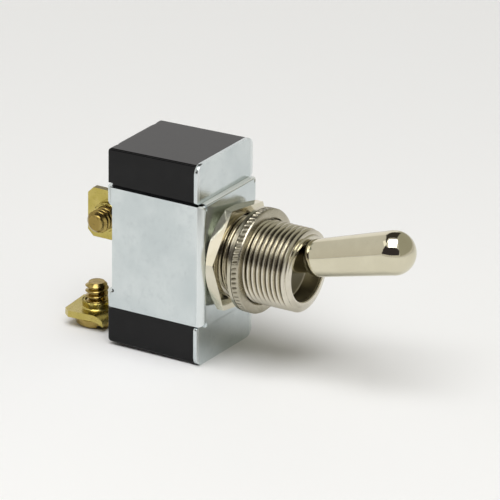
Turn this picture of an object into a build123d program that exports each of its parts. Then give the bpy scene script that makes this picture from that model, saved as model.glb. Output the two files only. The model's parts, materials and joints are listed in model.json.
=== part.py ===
from build123d import *
import math
import os

# Panel toggle switch, single pole, on and off, with screw terminals.
# Millimetres. +X runs forward along the bushing, +Y across the body, +Z along the body's long side.
# The origin is the lever's pivot, on the bushing's axis, level with the ring nut's front face.

# Running clearances between pieces that move on each other
RUN_GAP = 0.05
SCREW_GAP = 0.04
SEAT_GAP = 0.03
CONTACT_GAP = 0.05
OVERCUT = 1.0

# Threaded bushing, 15/32 inch by 32 threads to the inch
THREAD_R = 5.95
FREE_THREAD_L = 6.25
COVERED_THREAD_R = 5.78
RIM_CHAMFER_L = 0.6
RIM_R = 4.95
MOUTH_R = 4.4
MOUTH_CONE_L = 1.3
THROAT_R = 3.0
NECK_R = 5.2
LIP_R = 6.3
LIP_T = 0.5

# Hardware on the bushing
RING_NUT_R = 7.5
RING_NUT_T = 1.25
RING_NUT_BEVEL = 0.15
KNURL_DEPTH = 0.2
KNURL_COUNT = 60
WASHER_R = 7.45
WASHER_BAND = 0.8
WASHER_T = 0.5
WASHER_TEETH = 12
WASHER_TOOTH_W = 1.5
WASHER_TOOTH_T = 0.35
WASHER_TOOTH_TWIST = 12.0
BARE_THREAD = 2.0
HEX_NUT_AF = 14.29
HEX_NUT_T = 2.1
HEX_NUT_TURN = -8.0
HEX_NUT_CHAMFER_R = 6.5
HEX_NUT_CHAMFER_DEG = 30.0
NUT_BORE_CHAMFER = 0.3

# Folded steel frame
SHEET = 0.55
FRAME_W = 14.5
FLANGE_OVERHANG = 0.15
FLANGE_STEP = 0.95
FLANGE_CORNER_R = 1.4
FLANGE_HEEL_R = 0.45
JOGGLE_HALF = 9.2
JOGGLE_R = 0.3
RELIEF_DEPTH = 1.1
SIDE_H = 17.9
SIDE_CORNER_R = 0.8
BEND_R = 1.0
TAB_W = 2.25
TAB_REACH = 3.2
TAB_BEND_R = 0.95
TAB_END_R = 0.4
TAB_HEEL = 0.6
TAB_NOTCH_R = 0.3

# Moulded case
CASE_L = 29.7
CASE_DRAFT = 0.35
CASE_DEPTH = 14.55
CASE_RECESS = SHEET
CASE_RECESS_HALF = 9.4
CASE_GROOVE_R = 1.46
CASE_GROOVE_DEPTH = 0.5
CASE_GROOVE_INSET = 1.85
CASE_WALL = 2.0
CASE_END_WALL = 1.95
CASE_FLOOR = 2.1
CASE_REAR_R = 0.55
CASE_EDGE_R = 0.3
CAVITY_CORNER_R = 0.8
LINER_T = 0.4
LINER_SIDE_GAP = 0.15
LINER_HOLE_R = 4.3

# Bat lever
LEVER_TILT = 15.5
BALL_R = 3.9
LEVER_NECK_R = 1.95
LEVER_SHOULDER_X = 7.6
LEVER_SHOULDER_L = 1.8
LEVER_ROOT_R = 2.7
LEVER_TIP_R = 3.15
LEVER_LENGTH = 24.5
LEVER_TIP_BALL_L = 3.05
TAIL_R = 1.8
TAIL_L = 7.3
TAIL_BORE_R = 1.25
TAIL_BORE_FLOOR = 1.6
PIN_R = 0.8
PIN_L = 9.0
PIN_CHAMFER = 0.15

# Spring and plunger in the lever's tail
PLUNGER_GUIDE_L = 1.9
PLUNGER_NOSE_R = 0.6
PLUNGER_NOSE_L = 1.2
SPRING_WIRE_R = 0.16
SPRING_TURNS = 6

# Rocker and contacts
ROCKER_THROW = 16.0
ROCKER_HEIGHT = 3.2
ROCKER_T = 0.7
ROCKER_W = 5.0
ROCKER_GAP = 0.1
ROCKER_ARM = 4.3
ROCKER_WING = 7.2
ROCKER_WING_RISE = 0.3
TRUNNION_R = 0.45
TRUNNION_L = 1.0
BUTTON_R = 1.3
BUTTON_T = 0.5
BUTTON_EDGE = 0.15
BUTTON_Z = 6.0
BRACKET_T = 0.6
EAR_W = 3.2
EAR_GAP = 0.2
EAR_LIP = 0.45
FULCRUM_BASE_LOW = 2.4
FULCRUM_BASE_HIGH = 4.0
CONTACT_BRACKET_W = 4.0
CONTACT_BRACKET_END = 4.8
CONTACT_RISER_RISE = 2.0

# Brass terminals
BLADE_T = 0.95
BLADE_W = 7.35
BLADE_CORNER = 0.9
BLADE_END = 3.6
COLLAR_R = 2.05
COLLAR_L = 1.0
COLLAR_EDGE = 0.12
TANG_PROUD = 0.3
UPPER_SCREW_BACK = 4.25
UPPER_SCREW_Z = 1.58
UPPER_TANG_W = 3.2
LOWER_SCREW_BACK = 5.8
LOWER_BLADE_RISE = 1.85
LOWER_BLADE_YAW = 5.0
LOWER_FLAT_L = 1.3
LOWER_SHOULDER_L = 2.75
LOWER_TANG_W = 2.2
LOWER_TANG_RISE = 3.65
LOWER_NECK_W = 3.0
LOWER_SHOULDER_TURN = 11.0
TWIST_STEPS = 6

# Terminal screws, number 6 by 32 threads to the inch
SCREW_R = 1.67
SCREW_PROJECTION = 3.7
SCREW_END_CHAMFER = 0.55
SCREW_HEAD_R = 3.05
SCREW_HEAD_T = 1.1
SCREW_HEAD_GAP = 0.3
SCREW_HEAD_EDGE = 0.25
SCREW_SLOT_W = 0.85
SCREW_SLOT_D = 0.45

# Places along the bushing, worked out from the stack of hardware
WASHER_FRONT = -RING_NUT_T
WASHER_BACK = WASHER_FRONT - WASHER_T
HEX_FRONT = WASHER_BACK - BARE_THREAD
PLATE_FACE = HEX_FRONT - HEX_NUT_T
PLATE_BACK = PLATE_FACE - SHEET
FLANGE_FACE = PLATE_FACE - FLANGE_STEP
CASE_FRONT = FLANGE_FACE - SHEET
CASE_REAR = CASE_FRONT - CASE_DEPTH
TAB_SEAT = CASE_REAR + CASE_RECESS
SIDE_REAR = TAB_SEAT + SHEET
CAVITY_FLOOR = TAB_SEAT + CASE_FLOOR
BRACKET_TOP = CAVITY_FLOOR + BRACKET_T
BUSHING_FRONT = FREE_THREAD_L + RIM_CHAMFER_L
BORE_R = BALL_R + RUN_GAP
CASE_W = FRAME_W - 2 * SHEET
FRAME_L = CASE_L + 2 * FLANGE_OVERHANG
CASE_LOW = -CASE_L / 2
CAVITY_W = CASE_W - 2 * CASE_WALL
CAVITY_HALF_L = CASE_L / 2 - CASE_END_WALL

# Rocker geometry: its cradle follows the plunger's tip as lever and rocker turn
TIP_R = TAIL_BORE_R - RUN_GAP
ROCKER_TILT = ROCKER_THROW / 2
ROCKER_X = CAVITY_FLOOR + ROCKER_HEIGHT
PLUNGER_REACH = -ROCKER_X - ROCKER_GAP - ROCKER_T / 2
TIP_OFFSET = PLUNGER_REACH - TIP_R
TIP_REST_X = -TIP_OFFSET * math.cos(math.radians(LEVER_TILT)) - ROCKER_X
TIP_REST_Z = -TIP_OFFSET * math.sin(math.radians(LEVER_TILT))
TILT = math.radians(ROCKER_TILT)
TIP_LOCAL_X = TIP_REST_X * math.cos(TILT) - TIP_REST_Z * math.sin(TILT)
TIP_LOCAL_Z = TIP_REST_X * math.sin(TILT) + TIP_REST_Z * math.cos(TILT)
TIP_MID_X = -TIP_OFFSET - ROCKER_X
TIP_SAG = TIP_LOCAL_X - TIP_MID_X
TIP_PATH_R = (TIP_LOCAL_Z**2 + TIP_SAG**2) / (2 * TIP_SAG)
CRADLE_R = TIP_PATH_R + TIP_R + ROCKER_GAP
CRADLE_CENTRE = TIP_MID_X + TIP_PATH_R
ARM_RISE = CRADLE_CENTRE - math.sqrt((CRADLE_R + ROCKER_T / 2) ** 2 - ROCKER_ARM**2)
WING_X = ARM_RISE + ROCKER_WING_RISE
BUTTON_FACE = WING_X - ROCKER_T / 2 - BUTTON_T

# Terminal places
UPPER_SCREW_X = TAB_SEAT - UPPER_SCREW_BACK
LOWER_BLADE_Z = CASE_LOW + LOWER_BLADE_RISE
LOWER_TANG_Z = CASE_LOW + LOWER_TANG_RISE
CONTACT_RISER_Z = LOWER_TANG_Z + CONTACT_RISER_RISE
HOLE_R = SCREW_R + SCREW_GAP
TANG_END = BRACKET_TOP + TANG_PROUD


def revolve_about_x(outline):
    """Solid of revolution about the X axis from an outline of (x, radius) points."""
    face = make_face(Polyline(*outline, close=True))
    return revolve(face, Axis.X)


def block(x_low, x_high, y_low, y_high, z_low, z_high):
    """Box between two corners."""
    size = (x_high - x_low, y_high - y_low, z_high - z_low)
    centre = ((x_low + x_high) / 2, (y_low + y_high) / 2, (z_low + z_high) / 2)
    return Pos(*centre) * Box(*size)


def rod(x_low, x_high, radius):
    """Cylinder along X."""
    return Pos((x_low + x_high) / 2, 0, 0) * Rot(0, 90, 0) * Cylinder(radius, x_high - x_low)


def plate_outline(x_low, x_high, y_half, corner_r):
    """Sketch of a rectangle in the XY plane, rounded at its two front corners."""
    sketch = Pos((x_low + x_high) / 2, 0) * Rectangle(x_high - x_low, 2 * y_half)
    return fillet(sketch.vertices().group_by(Axis.X)[-1], corner_r)


def make_bushing():
    """Turned bushing: thread, staking neck and lip, mouth, ball seat and slots for the pin."""
    seat_x = math.sqrt(BORE_R**2 - THROAT_R**2)
    bend = math.radians(45) / 2
    middle = (BORE_R * math.sin(bend), BORE_R * math.cos(bend))
    wall = Polyline(
        (seat_x, THROAT_R),
        (seat_x + MOUTH_CONE_L, MOUTH_R),
        (BUSHING_FRONT, MOUTH_R),
        (BUSHING_FRONT, RIM_R),
        (FREE_THREAD_L, THREAD_R),
        (0, THREAD_R),
        (0, COVERED_THREAD_R),
        (PLATE_FACE, COVERED_THREAD_R),
        (PLATE_FACE, NECK_R),
        (PLATE_BACK, NECK_R),
        (PLATE_BACK, LIP_R),
        (PLATE_BACK - LIP_T, LIP_R),
        (PLATE_BACK - LIP_T, BORE_R),
        (0, BORE_R),
    )
    seat = ThreePointArc((0, BORE_R), middle, (seat_x, THROAT_R))
    body = revolve(make_face([*wall.edges(), seat]), Axis.X)
    slot_r = PIN_R + RUN_GAP
    slot_half = PIN_L / 2 + 2 * RUN_GAP
    slot = block(PLATE_BACK - 2 * LIP_T, 0, -slot_half, slot_half, -slot_r, slot_r)
    slot_end = Rot(90, 0, 0) * Cylinder(slot_r, 2 * slot_half)
    return body - slot - slot_end


def make_ring_nut():
    """Knurled ring nut: a toothed rim with bevelled edges."""
    points = []
    for step in range(2 * KNURL_COUNT):
        angle = math.radians(step * 180 / KNURL_COUNT)
        radius = RING_NUT_R - KNURL_DEPTH * (step % 2)
        points.append((radius * math.cos(angle), radius * math.sin(angle)))
    rim = Plane.YZ * make_face(Polyline(*points, close=True))
    body = Pos(-RING_NUT_T, 0, 0) * extrude(rim, RING_NUT_T)
    bevel_r = RING_NUT_R - KNURL_DEPTH
    envelope = revolve_about_x(
        [
            (-RING_NUT_T, 0),
            (-RING_NUT_T, bevel_r),
            (-RING_NUT_T + RING_NUT_BEVEL, RING_NUT_R),
            (-RING_NUT_BEVEL, RING_NUT_R),
            (0, bevel_r),
            (0, 0),
        ]
    )
    hole = revolve_about_x(nut_hole_outline(-RING_NUT_T, 0))
    return body & envelope - hole


def nut_hole_outline(x_low, x_high):
    """Bore of a nut with a small chamfer at both ends."""
    flare = THREAD_R + NUT_BORE_CHAMFER
    return [
        (x_low, 0),
        (x_low, flare),
        (x_low + NUT_BORE_CHAMFER, THREAD_R),
        (x_high - NUT_BORE_CHAMFER, THREAD_R),
        (x_high, flare),
        (x_high, 0),
    ]


def make_hex_nut():
    """Hexagon nut, chamfered on the side that bears on the plate."""
    corner_r = HEX_NUT_AF / math.sqrt(3)
    outline = Plane.YZ * Rot(0, 0, HEX_NUT_TURN) * RegularPolygon(corner_r, 6)
    body = Pos(PLATE_FACE, 0, 0) * extrude(outline, HEX_NUT_T)
    chamfer_l = (corner_r - HEX_NUT_CHAMFER_R) * math.tan(math.radians(HEX_NUT_CHAMFER_DEG))
    envelope = revolve_about_x(
        [
            (PLATE_FACE, 0),
            (PLATE_FACE, HEX_NUT_CHAMFER_R),
            (PLATE_FACE + chamfer_l, corner_r),
            (HEX_FRONT, corner_r),
            (HEX_FRONT, 0),
        ]
    )
    hole = revolve_about_x(nut_hole_outline(PLATE_FACE, HEX_FRONT))
    nut = body & envelope - hole
    return Pos(SEAT_GAP, 0, 0) * nut


def make_lock_washer():
    """Lock washer with twisted teeth on its inner edge."""
    inner_r = WASHER_R - WASHER_BAND
    band = rod(WASHER_BACK, WASHER_FRONT, WASHER_R) - rod(WASHER_BACK, WASHER_FRONT, inner_r)
    tooth_l = inner_r - THREAD_R
    half_sweep = WASHER_TOOTH_W / 2 * math.sin(math.radians(WASHER_TOOTH_TWIST)) + WASHER_TOOTH_T / 2
    tooth = Box(WASHER_TOOTH_T, tooth_l, WASHER_TOOTH_W)
    tooth = Rot(0, WASHER_TOOTH_TWIST, 0) * tooth
    tooth = Pos(WASHER_FRONT - half_sweep, THREAD_R + RUN_GAP + tooth_l / 2, 0) * tooth
    for step in range(WASHER_TEETH):
        band += Rot(step * 360 / WASHER_TEETH, 0, 0) * tooth
    return Pos(-SEAT_GAP, 0, 0) * band


def make_frame():
    """Frame folded from one sheet: stepped front plate, two sides and four clinch tabs."""
    half_w = FRAME_W / 2
    outer = plate_outline(SIDE_REAR, PLATE_FACE, half_w, BEND_R)
    inner = plate_outline(SIDE_REAR - OVERCUT, PLATE_BACK, half_w - SHEET, BEND_R - SHEET)
    channel = Pos(0, 0, -SIDE_H / 2) * extrude(outer - inner, SIDE_H)
    side = Pos((SIDE_REAR + PLATE_FACE) / 2, 0) * Rectangle(PLATE_FACE - SIDE_REAR, SIDE_H)
    side = fillet(side.vertices().group_by(Axis.X)[-1], SIDE_CORNER_R)
    channel &= extrude(Plane.XZ * side, FRAME_W, both=True)
    body = channel + make_joggle_strip()
    for end in (1, -1):
        body += make_flange(end)
        for side in (1, -1):
            body += make_tab(side, end)
    notch_z = TAB_W - SIDE_H / 2 + TAB_NOTCH_R - RUN_GAP
    notch = Pos(SIDE_REAR, 0, notch_z) * Rot(90, 0, 0) * Cylinder(TAB_NOTCH_R, 2 * FRAME_W)
    return body - notch - rod(PLATE_BACK - OVERCUT, PLATE_FACE + OVERCUT, NECK_R)


def make_joggle_strip():
    """Front strip whose middle stands forward of its ends, bent twice at each end."""
    end_z = JOGGLE_HALF + SHEET
    front = [
        (PLATE_FACE, 0),
        (PLATE_FACE, JOGGLE_HALF),
        (FLANGE_FACE, JOGGLE_HALF),
        (FLANGE_FACE, end_z),
        (CASE_FRONT, end_z),
        (CASE_FRONT, JOGGLE_HALF - SHEET),
        (PLATE_BACK, JOGGLE_HALF - SHEET),
        (PLATE_BACK, 0),
    ]
    half = make_face(Polyline(*front, close=True))
    bends = [v for v in half.vertices() if abs(v.Y - JOGGLE_HALF) < SHEET * 1.1]
    half = fillet([v for v in bends if v.X > FLANGE_FACE + SHEET / 2], JOGGLE_R)
    profile = Plane.XZ * (half + mirror(half, Plane.XZ))
    strip_w = FRAME_W - 2 * RELIEF_DEPTH
    return Pos(0, strip_w / 2, 0) * extrude(profile, strip_w)


def make_flange(end):
    """Flat end of the front plate, set back on the case, with rounded corners."""
    height = FRAME_L / 2 - JOGGLE_HALF
    sketch = Rectangle(FRAME_W, height)
    sketch = fillet(sketch.vertices().group_by(Axis.Y)[-1], FLANGE_CORNER_R)
    sketch = fillet(sketch.vertices().group_by(Axis.Y)[0], FLANGE_HEEL_R)
    flange = extrude(Plane.YZ * sketch, SHEET)
    flange = Pos(CASE_FRONT, 0, JOGGLE_HALF + height / 2) * flange
    return flange if end > 0 else mirror(flange, Plane.XY)


def make_tab(side, end):
    """Tab that wraps from a side plate round the back of the case; the upper ones have a heel."""
    half_w = FRAME_W / 2
    rear = TAB_SEAT - SHEET
    middle = SIDE_REAR + TAB_BEND_R
    outer = Pos(middle, 0) * Rectangle(2 * (middle - rear), 2 * half_w)
    outer = fillet(outer.vertices().group_by(Axis.X)[0], TAB_BEND_R)
    inner = Pos(middle, 0) * Rectangle(2 * (middle - TAB_SEAT), 2 * (half_w - SHEET))
    inner = fillet(inner.vertices().group_by(Axis.X)[0], TAB_BEND_R - SHEET)
    keep_at = Pos((rear + SIDE_REAR) / 2, half_w - TAB_REACH / 2)
    keep = keep_at * Rectangle(SIDE_REAR - rear, TAB_REACH)
    tab = extrude((outer - inner) & keep, TAB_W)
    tab = Pos(0, 0, SIDE_H / 2 - TAB_W) * tab
    tip_edges = tab.edges().filter_by(Axis.X).group_by(Axis.Y)[0]
    tab = fillet(tip_edges, TAB_END_R)
    if end > 0:
        heel_z = SIDE_H / 2 - TAB_W
        heel = Polyline(
            (SIDE_REAR, heel_z), (SIDE_REAR - TAB_HEEL, heel_z), (SIDE_REAR, heel_z - TAB_HEEL), close=True
        )
        tab += Pos(0, half_w, 0) * extrude(Plane.XZ * make_face(heel), SHEET)
    if side < 0:
        tab = mirror(tab, Plane.XZ)
    return tab if end > 0 else mirror(tab, Plane.XY)


def make_case():
    """Moulded case: a cup with tapered ends, a recessed back and two slots for the tangs."""
    front_half = CASE_L / 2
    rear_half = front_half - CASE_DRAFT
    outline = Polyline(
        (CASE_FRONT, front_half),
        (CASE_REAR, rear_half),
        (CASE_REAR, -rear_half),
        (CASE_FRONT, -front_half),
        close=True,
    )
    side = make_face(outline)
    side = fillet(side.vertices().group_by(Axis.X)[0], CASE_REAR_R)
    body = extrude(Plane.XZ * side, CASE_W / 2, both=True)
    outer_edges = body.edges().filter_by(lambda e: abs(abs(e.center().Y) - CASE_W / 2) < 0.01)
    body = fillet(outer_edges.filter_by(lambda e: e.center().X < CASE_FRONT - 0.01), CASE_EDGE_R)
    groove_x = CASE_REAR + CASE_GROOVE_DEPTH - CASE_GROOVE_R
    groove_y = CASE_W / 2 - CASE_GROOVE_INSET
    for side in (1, -1):
        body -= Pos(groove_x, side * groove_y, 0) * Cylinder(CASE_GROOVE_R, 2 * CASE_L)
    cut_x = CASE_REAR - OVERCUT
    body -= block(cut_x, TAB_SEAT, -CASE_W, CASE_W, -CASE_RECESS_HALF, CASE_RECESS_HALF)
    recess_edges = body.edges().filter_by(Axis.Z).filter_by(lambda e: abs(e.center().X - TAB_SEAT) < 0.01)
    recess_edges = recess_edges.filter_by(lambda e: abs(e.center().Y) > CASE_W / 2 - 0.01)
    body = fillet(recess_edges, CASE_REAR_R)
    cavity = Box(CASE_FRONT - CAVITY_FLOOR, CAVITY_W, 2 * CAVITY_HALF_L)
    cavity = fillet(cavity.edges().filter_by(Axis.X), CAVITY_CORNER_R)
    body -= Pos((CASE_FRONT + CAVITY_FLOOR) / 2, 0, 0) * cavity
    body -= tang(UPPER_SCREW_Z, UPPER_TANG_W, cut_x, CAVITY_FLOOR + OVERCUT)
    return body - tang(LOWER_TANG_Z, LOWER_TANG_W, cut_x, CAVITY_FLOOR + OVERCUT)


def tang(centre_z, width, x_low, x_high):
    """Bar with a terminal's tang section, also used to cut the slots that it fits."""
    half = width / 2
    return block(x_low, x_high, -BLADE_T / 2, BLADE_T / 2, centre_z - half, centre_z + half)


def make_liner():
    """Fibre liner between the case's mouth and the frame, with a hole for the lever's tail."""
    half_y = CASE_W / 2 - LINER_SIDE_GAP
    half_z = JOGGLE_HALF - SHEET - LINER_SIDE_GAP
    sheet = block(CASE_FRONT, CASE_FRONT + LINER_T, -half_y, half_y, -half_z, half_z)
    return sheet - rod(CASE_FRONT - OVERCUT, CASE_FRONT + OVERCUT, LINER_HOLE_R)


def along_lever(shape):
    """Turn a shape made along X to the lever's rest tilt."""
    return Rot(0, -LEVER_TILT, 0) * shape


def make_lever():
    """Bat lever: ball, neck, shoulder, swelling handle with a round tip, and a bored tail."""
    ball_neck_x = math.sqrt(BALL_R**2 - LEVER_NECK_R**2)
    ball_tail_x = math.sqrt(BALL_R**2 - TAIL_R**2)
    shoulder_end = LEVER_SHOULDER_X + LEVER_SHOULDER_L
    tip_start = LEVER_LENGTH - LEVER_TIP_BALL_L
    tail = Polyline((-ball_tail_x, TAIL_R), (-TAIL_L, TAIL_R), (-TAIL_L, 0), (LEVER_LENGTH, 0))
    ball = ThreePointArc((-ball_tail_x, TAIL_R), (0, BALL_R), (ball_neck_x, LEVER_NECK_R))
    neck = Line((ball_neck_x, LEVER_NECK_R), (LEVER_SHOULDER_X, LEVER_NECK_R))
    taper = (LEVER_TIP_R - LEVER_ROOT_R) / (tip_start - shoulder_end)
    shoulder = Spline(
        (LEVER_SHOULDER_X, LEVER_NECK_R),
        (shoulder_end, LEVER_ROOT_R),
        tangents=[(0.3, 1), (1, taper)],
    )
    handle = Line((shoulder_end, LEVER_ROOT_R), (tip_start, LEVER_TIP_R))
    tip = EllipticalCenterArc((tip_start, 0), LEVER_TIP_BALL_L, LEVER_TIP_R, arc_size=90)
    edges = [*tail.edges(), ball, neck, shoulder, handle, tip]
    lever = revolve(make_face(edges), Axis.X)
    lever -= rod(-TAIL_L - OVERCUT, -TAIL_BORE_FLOOR, TAIL_BORE_R)
    lever -= Rot(90, 0, 0) * Cylinder(PIN_R, 3 * BALL_R)
    return along_lever(lever)


def make_pivot_pin():
    """Cross pin that is pressed through the ball and turns in the bushing's slots."""
    pin = Rot(90, 0, 0) * Cylinder(PIN_R, PIN_L)
    return chamfer(pin.edges().filter_by(GeomType.CIRCLE), PIN_CHAMFER)


def make_plunger():
    """Plunger: a nose inside the spring, a guided stem and a round tip."""
    guide_x = -TAIL_L + PLUNGER_GUIDE_L
    tip_centre = -PLUNGER_REACH + TIP_R
    outline = Polyline(
        (-PLUNGER_REACH, 0),
        (guide_x + PLUNGER_NOSE_L, 0),
        (guide_x + PLUNGER_NOSE_L, PLUNGER_NOSE_R),
        (guide_x, PLUNGER_NOSE_R),
        (guide_x, TIP_R),
        (tip_centre, TIP_R),
    )
    corner = TIP_R * math.sqrt(0.5)
    tip = ThreePointArc(
        (tip_centre, TIP_R), (tip_centre - corner, corner), (-PLUNGER_REACH, 0)
    )
    return along_lever(revolve(make_face([*outline.edges(), tip]), Axis.X))


def make_plunger_spring():
    """Compression spring between the bore's floor and the plunger's guide."""
    start = -TAIL_BORE_FLOOR - SPRING_WIRE_R - SEAT_GAP
    end = -TAIL_L + PLUNGER_GUIDE_L + SPRING_WIRE_R + SEAT_GAP
    coil_r = TAIL_BORE_R - SPRING_WIRE_R - RUN_GAP
    length = start - end
    path = Helix(pitch=length / SPRING_TURNS, height=length, radius=coil_r)
    section = Plane(origin=path @ 0, z_dir=path % 0) * Circle(SPRING_WIRE_R)
    coil = sweep(section, path=path)
    return along_lever(Pos(end, 0, 0) * Rot(0, 90, 0) * coil)


def on_rocker(shape):
    """Move a shape made about the rocker's pivot to its place and rest tilt."""
    return Pos(ROCKER_X, 0, 0) * Rot(0, ROCKER_TILT, 0) * shape


def make_rocker():
    """Rocker: a cradle for the plunger's tip, a flat wing at each end and two trunnions."""
    centre_r = CRADLE_R + ROCKER_T / 2
    arm_deg = math.degrees(math.asin(ROCKER_ARM / centre_r))
    cradle = CenterArc((CRADLE_CENTRE, 0), centre_r, 180 - arm_deg, 2 * arm_deg)
    lines = [cradle]
    for end in (1, -1):
        foot = (ARM_RISE, end * ROCKER_ARM)
        knee = (WING_X, end * (ROCKER_ARM + ROCKER_WING_RISE))
        lines.append(Line(foot, knee))
        lines.append(Line(knee, (WING_X, end * ROCKER_WING)))
    strip = Plane.XZ * trace(lines, ROCKER_T)
    body = Pos(0, ROCKER_W / 2, 0) * extrude(strip, ROCKER_W)
    trunnion = Rot(90, 0, 0) * Cylinder(TRUNNION_R, ROCKER_W + 2 * TRUNNION_L)
    return on_rocker(body + trunnion)


def button(radius, thickness):
    """Contact button along X, its back at X = 0 and its softened face towards +X."""
    disc = rod(0, thickness, radius)
    return fillet(disc.edges().group_by(Axis.X)[-1], BUTTON_EDGE)


def make_moving_contact():
    """Contact button on the back of the rocker's lower wing."""
    face = Rot(0, 0, 180) * button(BUTTON_R, BUTTON_T)
    return on_rocker(Pos(WING_X - ROCKER_T / 2, 0, -BUTTON_Z) * face)


def fixed_button_place():
    """Face centre of the fixed contact, just clear of the moving one at rest."""
    x = BUTTON_FACE * math.cos(TILT) - BUTTON_Z * math.sin(TILT)
    z = -BUTTON_FACE * math.sin(TILT) - BUTTON_Z * math.cos(TILT)
    edge_drop = (BUTTON_R - BUTTON_EDGE) * math.sin(TILT)
    return ROCKER_X + x - edge_drop - CONTACT_GAP, z


def make_fixed_contact():
    """Contact button on the fixed contact's bracket."""
    face_x, centre_z = fixed_button_place()
    return Pos(face_x - BUTTON_T, 0, centre_z) * button(BUTTON_R, BUTTON_T)


def make_contact_bracket():
    """Stepped bracket that carries the fixed contact and holds the lower tang."""
    face_x = fixed_button_place()[0]
    top = face_x - BUTTON_T
    half_w = CONTACT_BRACKET_W / 2
    low_z = LINER_SIDE_GAP - CAVITY_HALF_L
    base = block(CAVITY_FLOOR, BRACKET_TOP, -half_w, half_w, low_z, CONTACT_RISER_Z)
    riser_top_z = CONTACT_RISER_Z + BRACKET_T
    riser = block(CAVITY_FLOOR, top, -half_w, half_w, CONTACT_RISER_Z, riser_top_z)
    shelf = block(top - BRACKET_T, top, -half_w, half_w, CONTACT_RISER_Z, -CONTACT_BRACKET_END)
    body = base + riser + shelf
    return body - tang(LOWER_TANG_Z, LOWER_TANG_W, CAVITY_FLOOR - OVERCUT, BRACKET_TOP + OVERCUT)


def make_fulcrum_bracket():
    """Bracket with two notched ears that hold the rocker's trunnions."""
    ear_in = ROCKER_W / 2 + EAR_GAP
    ear_out = ear_in + BRACKET_T
    notch_r = TRUNNION_R + RUN_GAP
    ear_top = ROCKER_X + EAR_LIP
    body = block(
        CAVITY_FLOOR, BRACKET_TOP, -ear_out, ear_out, -FULCRUM_BASE_LOW, FULCRUM_BASE_HIGH
    )
    for side in (1, -1):
        y_low, y_high = sorted((side * ear_in, side * ear_out))
        body += block(CAVITY_FLOOR, ear_top, y_low, y_high, -EAR_W / 2, EAR_W / 2)
    notch_half = ear_out + OVERCUT
    notch = block(ROCKER_X, ear_top + OVERCUT, -notch_half, notch_half, -notch_r, notch_r)
    notch += Pos(ROCKER_X, 0, 0) * Rot(90, 0, 0) * Cylinder(notch_r, 2 * notch_half)
    body -= notch
    return body - tang(UPPER_SCREW_Z, UPPER_TANG_W, CAVITY_FLOOR - OVERCUT, BRACKET_TOP + OVERCUT)


def blade(length):
    """Flat terminal blade in the XY plane, its screw hole at the origin, collar towards +Z."""
    plan = Pos(length / 2 - BLADE_END, 0) * Rectangle(length, BLADE_W)
    plan = chamfer(plan.vertices().group_by(Axis.X)[0], BLADE_CORNER)
    plate = Pos(0, 0, -BLADE_T / 2) * extrude(plan, BLADE_T)
    collar = Pos(0, 0, BLADE_T / 2 + COLLAR_L / 2) * Cylinder(COLLAR_R, COLLAR_L)
    collar = chamfer(collar.edges().group_by(Axis.Z)[-1], COLLAR_EDGE)
    return plate + collar - Cylinder(HOLE_R, 3 * (COLLAR_L + BLADE_T))


def make_upper_terminal():
    """Upright terminal: blade behind the case and a tang through its wall."""
    length = UPPER_SCREW_BACK + BLADE_END
    plate = Pos(UPPER_SCREW_X, 0, UPPER_SCREW_Z) * Rot(90, 0, 0) * blade(length)
    return plate + tang(UPPER_SCREW_Z, UPPER_TANG_W, TAB_SEAT, TANG_END)


def at_lower_blade(shape):
    """Move a shape made about the lower blade's screw hole to its place."""
    return Pos(CASE_REAR, 0, LOWER_BLADE_Z) * Rot(0, 0, LOWER_BLADE_YAW) * Pos(-LOWER_SCREW_BACK, 0, 0) * shape


def twist_section(x, turn_deg, z, width):
    """Section across the lower terminal, turned about its length."""
    sketch = Rot(0, 0, turn_deg) * Rectangle(width, BLADE_T)
    return Plane((x, 0, z), x_dir=(0, 1, 0), z_dir=(1, 0, 0)) * sketch


def make_lower_terminal():
    """Terminal twisted a quarter turn, so that its blade lies flat under its screw."""
    plate = blade(BLADE_END + LOWER_FLAT_L)
    middle_x = (LOWER_FLAT_L + LOWER_SHOULDER_L) / 2
    shoulder = loft(
        [
            twist_section(LOWER_FLAT_L, 0, 0, BLADE_W),
            twist_section(middle_x, LOWER_SHOULDER_TURN / 3, 0, BLADE_W),
            twist_section(LOWER_SHOULDER_L, LOWER_SHOULDER_TURN, 0, BLADE_W),
        ]
    )
    body = at_lower_blade(plate + shoulder - Cylinder(HOLE_R, 3 * COLLAR_L))
    neck_l = LOWER_SCREW_BACK - LOWER_SHOULDER_L
    sections = []
    for step in range(TWIST_STEPS + 1):
        share = step / TWIST_STEPS
        ease = share * share * (3 - 2 * share)
        x = (share - 1) * neck_l
        turn = LOWER_SHOULDER_TURN + share * (90 - LOWER_SHOULDER_TURN)
        z = ease * (LOWER_TANG_Z - LOWER_BLADE_Z)
        width = LOWER_NECK_W + share * (LOWER_TANG_W - LOWER_NECK_W)
        section = twist_section(x, turn, z, width)
        yaw = LOWER_BLADE_YAW * (1 - ease)
        sections.append(Pos(CASE_REAR, 0, LOWER_BLADE_Z) * Rot(0, 0, yaw) * section)
    body += loft(sections)
    return body + tang(LOWER_TANG_Z, LOWER_TANG_W, CASE_REAR, TANG_END)


def screw():
    """Terminal screw along Z: slotted head below, shank up through the blade and collar."""
    under_head = -BLADE_T / 2 - SCREW_HEAD_GAP
    end = BLADE_T / 2 + SCREW_PROJECTION
    shank_l = end - under_head
    shank = Pos(0, 0, under_head + shank_l / 2) * Cylinder(SCREW_R, shank_l)
    shank = chamfer(shank.edges().group_by(Axis.Z)[-1], SCREW_END_CHAMFER)
    head = Pos(0, 0, under_head - SCREW_HEAD_T / 2) * Cylinder(SCREW_HEAD_R, SCREW_HEAD_T)
    head = fillet(head.edges().group_by(Axis.Z)[0], SCREW_HEAD_EDGE)
    slot_z = under_head - SCREW_HEAD_T + SCREW_SLOT_D / 2
    head -= Pos(0, 0, slot_z) * Box(3 * SCREW_HEAD_R, SCREW_SLOT_W, SCREW_SLOT_D)
    return shank + head


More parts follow.
